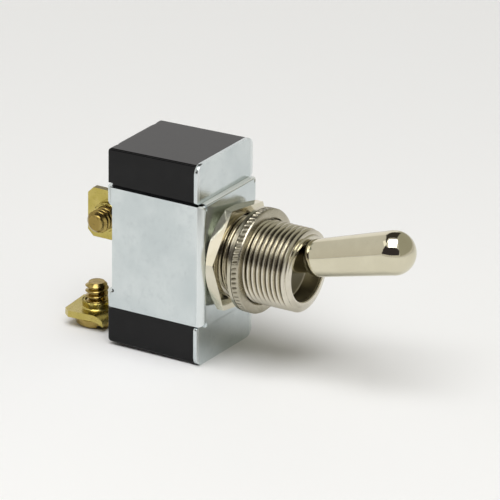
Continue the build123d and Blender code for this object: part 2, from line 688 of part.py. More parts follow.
def make_upper_screw():
    """Screw of the upright terminal, its point towards -Y."""
    return Pos(UPPER_SCREW_X, 0, UPPER_SCREW_Z) * Rot(90, 0, 0) * screw()


def make_lower_screw():
    """Screw of the twisted terminal, its point towards +Z."""
    return at_lower_blade(Rot(0, 0, 35) * screw())


NODES = {
    "frame": make_frame,
    "case": make_case,
    "liner": make_liner,
    "bushing": make_bushing,
    "hex_nut": make_hex_nut,
    "lock_washer": make_lock_washer,
    "ring_nut": make_ring_nut,
    "lever": make_lever,
    "pivot_pin": make_pivot_pin,
    "plunger": make_plunger,
    "plunger_spring": make_plunger_spring,
    "rocker": make_rocker,
    "moving_contact": make_moving_contact,
    "fixed_contact": make_fixed_contact,
    "contact_bracket": make_contact_bracket,
    "fulcrum_bracket": make_fulcrum_bracket,
    "upper_terminal": make_upper_terminal,
    "lower_terminal": make_lower_terminal,
    "upper_screw": make_upper_screw,
    "lower_screw": make_lower_screw,
}

os.makedirs("parts", exist_ok=True)
for node, make in NODES.items():
    export_step(make(), f"parts/{node}.step")
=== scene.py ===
import json
import math
import random

import bmesh
import bpy
from mathutils import Matrix, Vector


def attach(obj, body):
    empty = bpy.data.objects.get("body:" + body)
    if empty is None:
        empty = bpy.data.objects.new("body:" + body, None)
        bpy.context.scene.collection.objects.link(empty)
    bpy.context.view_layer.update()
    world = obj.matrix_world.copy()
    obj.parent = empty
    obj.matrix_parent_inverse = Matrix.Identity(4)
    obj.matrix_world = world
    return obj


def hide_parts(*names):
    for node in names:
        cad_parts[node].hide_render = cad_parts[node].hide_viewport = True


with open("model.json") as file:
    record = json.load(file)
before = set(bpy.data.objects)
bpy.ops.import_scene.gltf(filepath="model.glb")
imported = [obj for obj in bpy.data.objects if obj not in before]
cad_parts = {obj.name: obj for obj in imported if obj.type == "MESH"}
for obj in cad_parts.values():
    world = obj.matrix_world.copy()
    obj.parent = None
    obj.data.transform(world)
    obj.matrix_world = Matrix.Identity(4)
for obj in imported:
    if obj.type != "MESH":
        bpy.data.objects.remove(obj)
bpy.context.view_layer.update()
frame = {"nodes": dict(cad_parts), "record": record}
nodes = frame["nodes"]

# Sizes are in millimetres unless a comment says otherwise
MM = 0.001

# Shared by several pieces: how far a cutter overshoots, the inner corner of a rounded edge as a
# share of the edge's width, and the angle in degrees from which an edge is sharp
OVERCUT = 0.5
LONG_OVERCUT = 1.0
ROUNDING = 0.3
SHARP_ANGLE = 32

# Bushing and its thread
THREAD_R = 5.95
REAR_THREAD_R = 5.9
THREAD_ROOT_R = 5.44
THREAD_PITCH = 25.4 / 32
THREAD_STEPS = 128
TURNED_STEPS = 96
BUSHING_FRONT = 6.85
RIM_START = 6.4
RIM_RUN = 0.12
RIM_CLEAR = 0.3
RIM_STEP = ((6.6, 5.45), (6.65, 5.22), (6.76, 5.12))
RIM_R = 4.85
MOUTH_R = 4.4
MOUTH_EDGE = 0.12
MOUTH_FLOOR_X = 3.83
MOUTH_CORNER = 0.25
BALL_SEAT_R = 3.95
BALL_SEAT_TURN = 50.6
BALL_SEAT_STEPS = 8
PLATE_FACE = -5.85
PLATE_BACK = -6.4
FLANGE_FACE = -6.8
NECK_R = 5.2
NECK_OVERLAP = 0.3
LIP_R = 6.3
LIP_T = 0.5
PIN_SLOT_R = 0.85
PIN_SLOT_HALF = 4.6

# Front bends of the frame with a painted highlight along their outside, the depth of the painted highlight
# on the flange's upward edges, and the rounding of its edges
BEND_Y = 6.55
BEND_FADE = 0.25
BEND_BACK = 1.1
BEND_FRONT = 0.9
TOP_EDGE_HIGHLIGHT_DEPTH = 0.1
FRAME_EDGE = 0.06
WELD_REACH = 0.002

# Terminal screws
SCREW_R = 1.67
SCREW_ROOT_R = 1.16
SCREW_STEPS = 64
SCREW_ROOTING = 0.2
SCREW_CLEAR = 0.1
SCREW_END = 4.175
SCREW_END_R = 1.13
SCREW_END_TAPER = 0.5
SCREW_END_STEP = 0.02
SCREW_HEAD_TOP = -0.775
SCREW_HEAD_R = 3.05
SCREW_HEAD_T = 1.1
SCREW_HEAD_EDGE = 0.25
SCREW_HEAD_UNDER = 0.08
SCREW_SLOT_W = 0.85
SCREW_SLOT_D = 0.45
UPPER_SCREW_AT = (-25.6, 0.0, 1.58)
LOWER_SCREW_AT = (-27.678, -0.506, -13.0)
LOWER_BLADE_YAW = 5.0
LOWER_SCREW_TURN = 35.0

# Drawn collars of the terminals, about the screw holes: height and radius of each corner
COLLAR_FOOT = 0.455
COLLAR_TOP = 1.5
COLLAR_R = 2.09
COLLAR_BORE_R = 1.74
COLLAR_OUTLINE = (
    (COLLAR_FOOT, COLLAR_BORE_R),
    (COLLAR_FOOT, COLLAR_R + 0.2),
    (COLLAR_FOOT + 0.06, COLLAR_R + 0.09),
    (COLLAR_FOOT + 0.2, COLLAR_R),
    (1.0, COLLAR_R),
    (1.3, COLLAR_R + 0.02),
    (COLLAR_TOP - 0.06, COLLAR_R + 0.02),
    (COLLAR_TOP, COLLAR_R - 0.05),
    (COLLAR_TOP, COLLAR_BORE_R + 0.1),
    (COLLAR_TOP - 0.1, COLLAR_BORE_R),
)
COLLAR_STEPS = 144
COLLAR_WAVES = (3, 5, 8, 13)
COLLAR_TEETH = 31
COLLAR_OUTSIDE = 0.1
COLLAR_TORN_FROM = 0.9
COLLAR_RAGGED = 0.1
COLLAR_LOWEST_TOOTH = 0.3
COLLAR_WAVE_OUT = 0.5
COLLAR_TOOTH_OUT = 0.9
COLLAR_WAVE_UP = 0.8
COLLAR_TOOTH_DOWN = 1.1
UPPER_COLLAR_SEED = 3
LOWER_COLLAR_SEED = 11

# Ring nut
RING_R = 7.5
RING_T = 1.25
RING_BORE_R = 5.95
RING_BEVEL = 0.12
RING_FRONT_BEVEL = 0.25
RING_ROUND_AT = 0.35
NUT_FLARE = 0.3
KNURL_COUNT = 60
KNURL_STEPS = 8
KNURL_ROWS = 8
KNURL_DEPTH = 0.26
KNURL_SLANT = 0.3
KNURL_HALF = 0.3
KNURL_FADE = 0.22
KNURL_RISE = 0.15
KNURL_SHALLOWEST = 0.55
KNURL_SHIFT = 0.12
KNURL_SEED = 7
KNURL_TOUCH = 0.01

# Shares of a thread's flank, and how far it has risen there
TOOTH_RISE = ((0.15, 0.16), (0.72, 0.79), (0.9, 0.95), (1.0, 1.0))
TOOTH_FALL = ((1.0, 1.0), (1.1, 0.95), (1.28, 0.79), (1.85, 0.16))

# Floor, in metres but for its height: its tone, painted light, goes from far to near along a direction
FLOOR_Z = -15.0
FLOOR_SIZE = 2.0
FLOOR_WAY = (0.53, 0.85)
FLOOR_FAR_AT = -0.14
FLOOR_NEAR_AT = 0.07
FLOOR_FAR = (0.878, 0.882, 0.892)
FLOOR_NEAR = (0.925, 0.927, 0.935)

# Key light: where the object sees it, the way its width lies, distance and side in metres, watts
KEY_AZ = -76
KEY_EL = 71
KEY_ACROSS_AZ = 29
KEY_DISTANCE = 0.75
KEY_SIDE = 0.617
KEY_POWER = 4.35

# Studio round the object: share of the way from nadir to zenith, and tone
STUDIO = [
    (0.0, (0.86, 0.85, 0.84)),
    (0.497, (0.86, 0.85, 0.84)),
    (0.503, (0.68, 0.66, 0.62)),
    (0.70, (0.72, 0.70, 0.66)),
    (0.86, (0.70, 0.69, 0.66)),
    (1.0, (0.45, 0.44, 0.43)),
]

# Surroundings: corners of each patch as azimuth and elevation, softness of its edge, and its tone.
# In turn: a reflector, a warm wall, a lamp, two dark flags below the key light, two high up behind
SURROUNDINGS = [
    ([(152, -6), (113, -6), (113, 28), (146, 31)], 0.1, (0.96, 0.94, 0.92)),
    ([(112, 2), (-28, 2), (-28, 44), (112, 44)], 0.12, (0.41, 0.40, 0.325)),
    ([(-128, 36), (-129, 52), (-168, 53), (-168, 43)], 0.03, (1.25, 1.22, 1.15)),
    ([(-125, 4), (-32, 8), (-26, 30), (-34, 40), (-125, 36)], 0.05, (0.045, 0.038, 0.042)),
    ([(-127, 20), (-127, 47), (-100, 37), (-115, 20)], 0.05, (0.045, 0.038, 0.042)),
    ([(150, 37), (128, 31), (104, 25), (74, 73), (180, 57)], 0.06, (0.05, 0.045, 0.04)),
    ([(158, 45), (-136, 54), (-128, 60), (170, 60)], 0.04, (0.05, 0.045, 0.04)),
]

# Camera, fitted to the photograph: angles in degrees, the rest in millimetres
CAMERA_AZ = 31.683
CAMERA_EL = 21.683
CAMERA_ROLL = 0.435
CAMERA_SHIFT = (2.729, 0.402)
CAMERA_DISTANCE = 1040.355
CAMERA_AIM_X = -5.85
CAMERA_LENS = 537.37
CAMERA_SENSOR = 36.0
CAMERA_NEAR = 50.0
CAMERA_FAR = 20000.0


# Shader maths

class Signal:
    """A value that varies over a surface. The signs of arithmetic on it add Math nodes."""

    def __init__(self, finish, socket):
        self.finish = finish
        self.socket = socket

    def _math(self, operation, first, second):
        return self.finish.node("ShaderNodeMath", {"operation": operation}, {0: first, 1: second})

    def __add__(self, other):
        return self._math("ADD", self, other)

    def __radd__(self, other):
        return self._math("ADD", other, self)

    def __sub__(self, other):
        return self._math("SUBTRACT", self, other)

    def __rsub__(self, other):
        return self._math("SUBTRACT", other, self)

    def __mul__(self, other):
        return self._math("MULTIPLY", self, other)

    def __rmul__(self, other):
        return self._math("MULTIPLY", other, self)

    def __pow__(self, other):
        return self._math("POWER", self, other)


class Finish:
    """A node tree of a material or the world, filled by one method."""

    def __init__(self, owner):
        owner.use_nodes = True
        self.owner = owner
        self.tree = owner.node_tree
        self.tree.nodes.clear()

    def node(self, kind, settings=None, inputs=None, out=0):
        """Add a node: its settings first, then the values or links of its sockets."""
        made = self.tree.nodes.new(kind)
        for key, value in (settings or {}).items():
            if key == "stops":
                self._set_stops(made.color_ramp, value)
            else:
                setattr(made, key, value)
        for key, value in (inputs or {}).items():
            if isinstance(value, Signal):
                self.tree.links.new(value.socket, made.inputs[key])
            else:
                made.inputs[key].default_value = value
        return Signal(self, made.outputs[out]) if len(made.outputs) else made

    def _set_stops(self, ramp, stops):
        while len(ramp.elements) < len(stops):
            ramp.elements.new(1.0)
        for element, (place, colour) in zip(ramp.elements, stops):
            element.position = place
            element.color = (*colour, 1.0)

    def split(self, vector):
        """The three parts of a vector, each as a signal."""
        parts = self.node("ShaderNodeSeparateXYZ", None, {0: vector})
        return [Signal(self, parts.socket.node.outputs[i]) for i in range(3)]

    def place(self):
        """Object coordinates in metres."""
        return self.node("ShaderNodeTexCoord", out="Object")

    def upward(self):
        """How far the surface faces up, from -1 to 1."""
        return self.split(self.node("ShaderNodeTexCoord", out="Normal"))[2]

    def scaled(self, vector, scale):
        """A vector stretched by three factors."""
        return self.node("ShaderNodeVectorMath", {"operation": "MULTIPLY"}, {0: vector, 1: scale})

    def noise(self, vector, scale, detail=3.0, rough=0.5):
        """Fractal noise, about 0.5 on average."""
        return self.node(
            "ShaderNodeTexNoise", None,
            {"Vector": vector, "Scale": scale, "Detail": detail, "Roughness": rough},
        )

    def step(self, value, low, high, to_low=0.0, to_high=1.0):
        """Smooth passage from one value to another as a signal crosses a range."""
        return self.node(
            "ShaderNodeMapRange", {"interpolation_type": "SMOOTHSTEP"},
            {"Value": value, "From Min": low, "From Max": high, "To Min": to_low, "To Max": to_high},
        )

    def blend(self, factor, first, second, mode="MIX"):
        """Mix of two colours."""
        return self.node(
            "ShaderNodeMix", {"data_type": "RGBA", "blend_type": mode},
            {0: factor, 6: colour(first), 7: colour(second)}, out=2,
        )

    def bump(self, height, distance, strength=1.0):
        """Normal from a height in units of the distance given."""
        return self.node(
            "ShaderNodeBump", None,
            {"Height": height, "Distance": distance, "Strength": strength},
        )

    def surface(self, **sockets):
        """Principled shader as the material's surface."""
        inputs = {key.replace("_", " "): colour(value) for key, value in sockets.items()}
        shader = self.node("ShaderNodeBsdfPrincipled", None, inputs)
        self.node("ShaderNodeOutputMaterial", None, {"Surface": shader})
        return self.owner


def colour(value):
    """A colour as four numbers; anything else is left as it is."""
    if isinstance(value, tuple) and len(value) == 3:
        return (*value, 1.0)
    return value


def new_finish(name):
    return Finish(bpy.data.materials.new(name))


# Materials

def make_zinc():
    """Bright zinc plate on rolled steel, mottled, with a painted highlight on its front bends and on the
    flange's upward edges.
    """
    f = new_finish("zinc_plate")
    at = f.place()
    x, y, _ = f.split(at)
    mottle = f.noise(at, 900.0, 4.0, 0.6)
    cloud = f.noise(at, 220.0, 3.0, 0.5)
    grain = f.noise(f.scaled(at, (400.0, 400.0, 9000.0)), 1.0, 2.0, 0.6)
    spangle = f.noise(at, 3400.0, 2.0, 0.5)
    tone = f.blend(f.step(cloud, 0.3, 0.7), (0.585, 0.64, 0.65), (0.675, 0.725, 0.73))
    tone = f.blend(f.step(mottle, 0.48, 0.75) * 0.4, tone, (0.50, 0.55, 0.57))
    tone = f.blend(f.step(spangle, 0.62, 0.76) * 0.35, tone, (0.42, 0.46, 0.47))
    aside = f.node("ShaderNodeMath", {"operation": "ABSOLUTE"}, {0: y})
    # Painted highlight: a brighter tone along the outside of the front bends
    bend_highlight = f.step(aside, BEND_Y * MM, (BEND_Y + BEND_FADE) * MM)
    bend_highlight = bend_highlight * f.step(x, (PLATE_FACE - BEND_BACK) * MM, (PLATE_FACE - BEND_FRONT) * MM)
    tone = f.blend(bend_highlight * 0.8, tone, (0.80, 0.84, 0.84))
    # Painted highlight: the flange's upward edges are made pale and less metallic
    top_edge_highlight = f.step(f.upward(), 0.6, 0.8)
    top_edge_highlight = top_edge_highlight * f.step(x, FLANGE_FACE * MM, (FLANGE_FACE + TOP_EDGE_HIGHLIGHT_DEPTH) * MM)
    tone = f.blend(top_edge_highlight * 0.8, tone, (0.86, 0.89, 0.88))
    rough = 0.12 + mottle * 0.12 + cloud * 0.05 + bend_highlight * 0.12
    bump = f.bump(mottle * 0.6 + grain * 0.4, 0.000012, 0.6)
    return f.surface(Base_Color=tone, Metallic=1.0 - top_edge_highlight * 0.6, Roughness=rough, Normal=bump)


def make_nickel(name, tone_low, tone_high, rough_low, turned=0.0):
    """Bright nickel plate, warm, with fine polishing marks."""
    f = new_finish(name)
    at = f.place()
    cloud = f.noise(at, 260.0, 3.0, 0.6)
    scuff = f.noise(f.scaled(at, (700.0, 5200.0, 5200.0)), 1.0, 3.0, 0.7)
    tone = f.blend(f.step(cloud, 0.35, 0.7), tone_low, tone_high)
    rough = rough_low + cloud * 0.04 + scuff * 0.03
    bump = f.bump(scuff + cloud * turned, 0.000004, 0.3)
    return f.surface(Base_Color=tone, Metallic=1.0, Roughness=rough, Normal=bump)


def make_bushing_metal():
    """Nickel plate with painted shade in the thread's roots; duller inside the mouth, with painted light on
    its wall and painted shade at its floor.
    """
    f = new_finish("nickel_thread")
    at = f.place()
    x, y, z = f.split(at)
    radius = (y * y + z * z) ** 0.5
    cloud = f.noise(at, 320.0, 3.0, 0.6)
    scuff = f.noise(f.scaled(at, (5200.0, 700.0, 700.0)), 1.0, 3.0, 0.7)
    inside = f.step(radius, (MOUTH_R + 0.02) * MM, (MOUTH_R - 0.04) * MM)
    inside = inside * f.step(x, (BUSHING_FRONT - 0.015) * MM, (BUSHING_FRONT - 0.35) * MM)
    tone = f.blend(f.step(cloud, 0.35, 0.7), (0.66, 0.62, 0.52), (0.74, 0.70, 0.60))
    # Painted light: a lighter tone on the mouth's inside wall. Painted shade: a dark tone at the mouth's
    # floor.
    floor_shade = inside * f.step(x, (MOUTH_FLOOR_X + 0.3) * MM, (MOUTH_FLOOR_X + 0.05) * MM)
    tone = f.blend(inside, tone, (0.84, 0.79, 0.65))
    tone = f.blend(floor_shade * 0.8, tone, (0.13, 0.118, 0.078))
    # Painted shade in the thread's roots
    root_shade = f.step(radius, (THREAD_R - 0.2) * MM, (THREAD_ROOT_R + 0.04) * MM) * (1.0 - inside)
    root_shade = root_shade * f.step(x, (RIM_START + 0.02) * MM, (RIM_START - 0.1) * MM)
    tone = f.blend(root_shade * 0.8, tone, (0.12, 0.10, 0.06))
    rough = 0.13 + cloud * 0.06 + scuff * 0.08 + inside * 0.33
    bump = f.bump(scuff, 0.000008, 0.5)
    return f.surface(Base_Color=tone, Metallic=1.0, Roughness=rough, Normal=bump)


def make_knurl_metal():
    """Duller nickel plate of the ring nut, with painted shade in the knurl's grooves."""
    f = new_finish("nickel_knurl")
    at = f.place()
    x, y, z = f.split(at)
    radius = (y * y + z * z) ** 0.5
    cloud = f.noise(at, 260.0, 3.0, 0.6)
    scuff = f.noise(f.scaled(at, (700.0, 5200.0, 5200.0)), 1.0, 3.0, 0.7)
    # Painted shade in the knurl's grooves
    groove_shade = f.step(radius, (RING_R - 0.01) * MM, (RING_R - 0.17) * MM)
    groove_shade = groove_shade * f.step(radius, (RING_R - 0.5) * MM, (RING_R - 0.4) * MM)
    groove_shade = groove_shade * f.step(x, -RING_FRONT_BEVEL * MM, -(RING_FRONT_BEVEL + 0.08) * MM)
    tone = f.blend(f.step(cloud, 0.35, 0.7), (0.43, 0.40, 0.31), (0.53, 0.49, 0.395))
    tone = f.blend(groove_shade * 0.8, tone, (0.10, 0.085, 0.05))
    rough = 0.2 + cloud * 0.08 + scuff * 0.08 + groove_shade * 0.2
    bump = f.bump(scuff + cloud, 0.000005, 0.4)
    return f.surface(Base_Color=tone, Metallic=1.0, Roughness=rough, Normal=bump)


def make_phenolic():
    """Glossy black moulding with faint flow marks."""
    f = new_finish("black_moulding")
    at = f.place()
    cloud = f.noise(at, 500.0, 4.0, 0.6)
    flow = f.noise(f.scaled(at, (900.0, 900.0, 160.0)), 1.0, 3.0, 0.6)
    tone = f.blend(f.step(cloud, 0.4, 0.7), (0.003, 0.003, 0.0035), (0.006, 0.006, 0.0065))
    rough = 0.07 + cloud * 0.09
    bump = f.bump(flow, 0.000012, 0.3)
    return f.surface(Base_Color=tone, Roughness=rough, Normal=bump, Specular_IOR_Level=0.24)


def make_brass(name, tone_low, tone_high, tarnish, amount, rough_low, edge=0.0):
    """Bare rolled brass with cloudy tarnish; painted shade may darken the upward faces of an upright blade.
    """
    f = new_finish(name)
    at = f.place()
    cloud = f.noise(at, 420.0, 4.0, 0.6)
    spots = f.noise(at, 2300.0, 3.0, 0.6)
    grain = f.noise(f.scaled(at, (500.0, 6500.0, 6500.0)), 1.0, 2.0, 0.6)
    tone = f.blend(f.step(cloud, 0.35, 0.65), tone_low, tone_high)
    tone = f.blend(f.step(spots, 0.52, 0.72) * amount, tone, tarnish)
    if edge:
        # Painted shade: the upward faces are darkened
        tone = f.blend(f.step(f.upward(), 0.45, 0.6) * edge, tone, (0.10, 0.075, 0.02))
    rough = rough_low + cloud * 0.12 + grain * 0.08
    bump = f.bump(grain + spots * 0.5, 0.00001, 0.5)
    return f.surface(Base_Color=tone, Metallic=1.0, Roughness=rough, Normal=bump)


def make_plain_metal(name, tone, rough_low):
    """Small inner metal pieces: an even tone with a slight cloud."""
    f = new_finish(name)
    cloud = f.noise(f.place(), 800.0, 3.0, 0.6)
    tone = f.blend(cloud * 0.3, tone, tuple(c * 0.7 for c in tone))
    return f.surface(Base_Color=tone, Metallic=1.0, Roughness=rough_low + cloud * 0.15)


def make_fibre():
    """Matt hard fibre sheet."""
    f = new_finish("hard_fibre")
    at = f.place()
    felt = f.noise(at, 2500.0, 4.0, 0.7)
    tone = f.blend(f.step(felt, 0.35, 0.7), (0.16, 0.08, 0.05), (0.26, 0.15, 0.10))
    return f.surface(Base_Color=tone, Roughness=0.65 + felt * 0.2, Normal=f.bump(felt, 0.00002, 0.5))


def make_nylon():
    """Moulded nylon of the plunger."""
    f = new_finish("moulded_nylon")
    cloud = f.noise(f.place(), 600.0, 3.0, 0.5)
    tone = f.blend(cloud, (0.72, 0.69, 0.58), (0.80, 0.77, 0.68))
    return f.surface(Base_Color=tone, Roughness=0.45 + cloud * 0.1)


# Mesh making

def finished(name, bm, material, body, slot, *replaced):
    """Turn a mesh in millimetres into a piece on a body, in place of CAD nodes."""
    bmesh.ops.recalc_face_normals(bm, faces=bm.faces)
    bmesh.ops.scale(bm, vec=(MM, MM, MM), verts=bm.verts)
    mesh = bpy.data.meshes.new(name)
    bm.to_mesh(mesh)
    bm.free()
    piece = bpy.data.objects.new(name, mesh)
    bpy.context.scene.collection.objects.link(piece)
    mesh.materials.append(material)
    mesh.shade_smooth()
    mesh.set_sharp_from_angle(angle=math.radians(SHARP_ANGLE))
    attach(piece, body)
    if replaced:
        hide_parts(*replaced)
    return piece


def spun(points, steps):
    """Closed solid of revolution about X from (x, radius) points that start and end on the axis."""
    bm = bmesh.new()
    verts = [bm.verts.new((x, r, 0)) for x, r in points]
    edges = [bm.edges.new(pair) for pair in zip(verts, verts[1:])]
    bmesh.ops.spin(
        bm, geom=verts + edges, cent=(0, 0, 0), axis=(1, 0, 0),
        angle=2 * math.pi, steps=steps, use_merge=True, use_duplicate=False,
    )
    bmesh.ops.remove_doubles(bm, verts=bm.verts, dist=1e-5)
    bmesh.ops.recalc_face_normals(bm, faces=bm.faces)
    return bm


def spun_ring(outline, steps):
    """Ring about X from the closed outline of its section, as (x, radius) points."""
    bm = bmesh.new()
    verts = [bm.verts.new((x, r, 0)) for x, r in outline]
    edges = [bm.edges.new(pair) for pair in zip(verts, verts[1:] + verts[:1])]
    bmesh.ops.spin(
        bm, geom=verts + edges, cent=(0, 0, 0), axis=(1, 0, 0),
        angle=2 * math.pi, steps=steps, use_merge=True, use_duplicate=False,
    )
    return bm


def threaded_rod(crest_r, root_r, pitch, x_low, x_high, steps):
    """Rod along X with a helical thread, cut square at both ends."""
    flat = pitch / 10
    flank = (pitch - 2 * flat) / 2
    depth = crest_r - root_r
    tooth = [(0, root_r), (flat, root_r)]
    for share, rise in TOOTH_RISE:
        tooth.append((flat + share * flank, root_r + rise * depth))
    for share, rise in TOOTH_FALL:
        tooth.append((2 * flat + share * flank, root_r + rise * depth))
    turns = math.ceil((x_high - x_low) / pitch) + 3
    start = x_low - 2 * pitch
    bm = bmesh.new()
    verts = []
    for turn in range(turns):
        for x, r in tooth:
            verts.append(bm.verts.new((start + turn * pitch + x, r, 0)))
    edges = [bm.edges.new(pair) for pair in zip(verts, verts[1:])]
    bmesh.ops.spin(
        bm, geom=verts + edges, cent=(0, 0, 0), axis=(1, 0, 0), angle=2 * math.pi,
        dvec=(pitch / steps, 0, 0), steps=steps, use_duplicate=False,
    )
    bmesh.ops.remove_doubles(bm, verts=bm.verts, dist=1e-4)
    for x, side in ((x_low, -1), (x_high, 1)):
        geom = bm.verts[:] + bm.edges[:] + bm.faces[:]
        bmesh.ops.bisect_plane(
            bm, geom=geom, dist=1e-5, plane_co=(x, 0, 0), plane_no=(side, 0, 0), clear_outer=True,
        )
    ends = [e for e in bm.edges if e.is_boundary]
    bmesh.ops.holes_fill(bm, edges=ends, sides=0)
    bmesh.ops.recalc_face_normals(bm, faces=bm.faces)
    return bm


def trim_to(bm, limit):
    """Bring vertices that stand outside a radius limit, given by x, back to it."""
    for v in bm.verts:
        most = limit(v.co.x)
        r = math.hypot(v.co.y, v.co.z)
        if r > most:
            v.co.y *= most / r
            v.co.z *= most / r


def combined(bm, tool, operation):
    """Boolean of two meshes; both are used up."""
    pair = []
    for part in (bm, tool):
        mesh = bpy.data.meshes.new("work")
        part.to_mesh(mesh)
        part.free()
        thing = bpy.data.objects.new("work", mesh)
        bpy.context.scene.collection.objects.link(thing)
        pair.append(thing)
    cut = pair[0].modifiers.new("cut", "BOOLEAN")
    cut.operation = operation
    cut.solver = "EXACT"
    cut.object = pair[1]
    bpy.context.view_layer.update()
    result = bmesh.new()
    result.from_object(pair[0], bpy.context.evaluated_depsgraph_get())
    for thing in pair:
        mesh = thing.data
        bpy.data.objects.remove(thing)
        bpy.data.meshes.remove(mesh)
    return result


def boxed(x_low, x_high, y_low, y_high, z_low, z_high):
    """Box between two corners."""
    bm = bmesh.new()
    bmesh.ops.create_cube(bm, size=1.0)
    bmesh.ops.scale(bm, vec=(x_high - x_low, y_high - y_low, z_high - z_low), verts=bm.verts)
    middle = ((x_low + x_high) / 2, (y_low + y_high) / 2, (z_low + z_high) / 2)
    bmesh.ops.translate(bm, vec=middle, verts=bm.verts)
    return bm


# Pieces

def make_bushing(material):
    """Threaded bushing with its mouth, ball seat, pin slots, staking neck and lip."""
    front = BUSHING_FRONT + OVERCUT
    bm = threaded_rod(THREAD_R, THREAD_ROOT_R, THREAD_PITCH, PLATE_FACE, front, THREAD_STEPS)
    trim_to(bm, lambda x: REAR_THREAD_R if x <= 0 else THREAD_R)
    wide = THREAD_R + RIM_CLEAR
    low = PLATE_FACE - LONG_OVERCUT
    rim = [(low, 0), (low, wide), (RIM_START - RIM_RUN, wide)]
    rim += [*RIM_STEP, (BUSHING_FRONT, RIM_R), (BUSHING_FRONT, 0)]
    bm = combined(bm, spun(rim, THREAD_STEPS), "INTERSECT")
    neck_rear = PLATE_BACK - LIP_T
    neck_front = PLATE_FACE + NECK_OVERLAP
    neck = [(neck_rear, 0), (neck_rear, LIP_R), (PLATE_BACK, LIP_R), (PLATE_BACK, NECK_R)]
    neck += [(neck_front, NECK_R), (neck_front, 0)]
    bm = combined(bm, spun(neck, TURNED_STEPS), "UNION")
    seat = []
    for step in range(BALL_SEAT_STEPS + 1):
        angle = math.radians(90 - step * BALL_SEAT_TURN / BALL_SEAT_STEPS)
        seat.append((BALL_SEAT_R * math.cos(angle), BALL_SEAT_R * math.sin(angle)))
    rear = neck_rear - OVERCUT
    bore = [(rear, 0), (rear, BALL_SEAT_R), *seat]
    bore += [(MOUTH_FLOOR_X, MOUTH_R - MOUTH_CORNER), (MOUTH_FLOOR_X + MOUTH_CORNER, MOUTH_R)]
    bore += [(BUSHING_FRONT - MOUTH_EDGE, MOUTH_R), (BUSHING_FRONT, MOUTH_R + MOUTH_EDGE)]
    bore += [(front, MOUTH_R + MOUTH_EDGE), (front, 0)]
    bm = combined(bm, spun(bore, TURNED_STEPS), "DIFFERENCE")
    slot = boxed(rear, 0, -PIN_SLOT_HALF, PIN_SLOT_HALF, -PIN_SLOT_R, PIN_SLOT_R)
    bm = combined(bm, slot, "DIFFERENCE")
    return finished("threaded_bushing", bm, material, "housing", "nickel", "bushing")


def make_screw(name, place, body, node, material):
    """Terminal screw: slotted head and a threaded shank, then moved to its place."""
    low = SCREW_HEAD_TOP - SCREW_ROOTING
    shank = threaded_rod(SCREW_R, SCREW_ROOT_R, THREAD_PITCH, low, SCREW_END + OVERCUT, SCREW_STEPS)
    wide = SCREW_R + SCREW_CLEAR
    taper = SCREW_END - SCREW_END_TAPER
    point = [(low - OVERCUT, 0), (low - OVERCUT, wide), (taper, wide)]
    point += [(taper, SCREW_R - SCREW_END_STEP), (SCREW_END, SCREW_END_R), (SCREW_END, 0)]
    shank = combined(shank, spun(point, SCREW_STEPS), "INTERSECT")
    head_low = SCREW_HEAD_TOP - SCREW_HEAD_T
    edge = SCREW_HEAD_EDGE
    under = SCREW_HEAD_UNDER
    outline = [(head_low, 0), (head_low, SCREW_HEAD_R - edge)]
    outline += [(head_low + edge * ROUNDING, SCREW_HEAD_R - edge * ROUNDING)]
    outline += [(head_low + edge, SCREW_HEAD_R), (SCREW_HEAD_TOP - under, SCREW_HEAD_R)]
    outline += [(SCREW_HEAD_TOP, SCREW_HEAD_R - under), (SCREW_HEAD_TOP, 0)]
    bm = combined(spun(outline, SCREW_STEPS), shank, "UNION")
    reach = 2 * SCREW_HEAD_R
    half = SCREW_SLOT_W / 2
    above = head_low - LONG_OVERCUT
    slot = boxed(above, head_low + SCREW_SLOT_D, -reach, reach, -half, half)
    bm = combined(bm, slot, "DIFFERENCE")
    bmesh.ops.transform(bm, matrix=place, verts=bm.verts)
    return finished(name, bm, material, body, "brass_screw", node)


def make_collar(name, place, seed, material):
    """Collar drawn up round a terminal's hole, flared at its foot and torn at its rim."""
    bm = spun_ring(COLLAR_OUTLINE, COLLAR_STEPS)
    draw = random.Random(seed)
    full = 2 * math.pi
    waves = [(count, draw.uniform(0, full), draw.uniform(0, full)) for count in COLLAR_WAVES]
    heights = [draw.uniform(COLLAR_LOWEST_TOOTH, 1.0) for _ in range(COLLAR_TEETH)]
    for v in bm.verts:
        turn = math.atan2(v.co.z, v.co.y)
        out = sum(math.sin(count * turn + first) for count, first, _ in waves) / len(waves)
        along = sum(math.sin(count * turn + second) for count, _, second in waves) / len(waves)
        part = (turn / full % 1.0) * COLLAR_TEETH
        index = math.floor(part) % COLLAR_TEETH
        tooth = heights[index] * (1.0 - abs(2 * (part - math.floor(part)) - 1.0))
        height = (v.co.x - COLLAR_TORN_FROM) / (COLLAR_TOP - COLLAR_TORN_FROM)
        torn = COLLAR_RAGGED * max(0.0, height) ** 2
        v.co.x += torn * (COLLAR_WAVE_UP * along - COLLAR_TOOTH_DOWN * tooth)
        r = math.hypot(v.co.y, v.co.z)
        if r > COLLAR_R - COLLAR_OUTSIDE:
            wide = (r + torn * (COLLAR_WAVE_OUT * out + COLLAR_TOOTH_OUT * tooth)) / r
            v.co.y *= wide
            v.co.z *= wide
    bmesh.ops.transform(bm, matrix=place, verts=bm.verts)
    return finished(name, bm, material, "housing", "brass")


def soften(name, width):
    """Round a CAD node's sharp edges a little."""
    node = nodes[name]
    weld = node.modifiers.new("weld", "WELD")
    weld.merge_threshold = WELD_REACH * MM
    bevel = node.modifiers.new("soft_edges", "BEVEL")
    bevel.width = width * MM
    bevel.segments = 2
    bevel.limit_method = "ANGLE"
    bevel.angle_limit = math.radians(SHARP_ANGLE)
    bevel.harden_normals = True


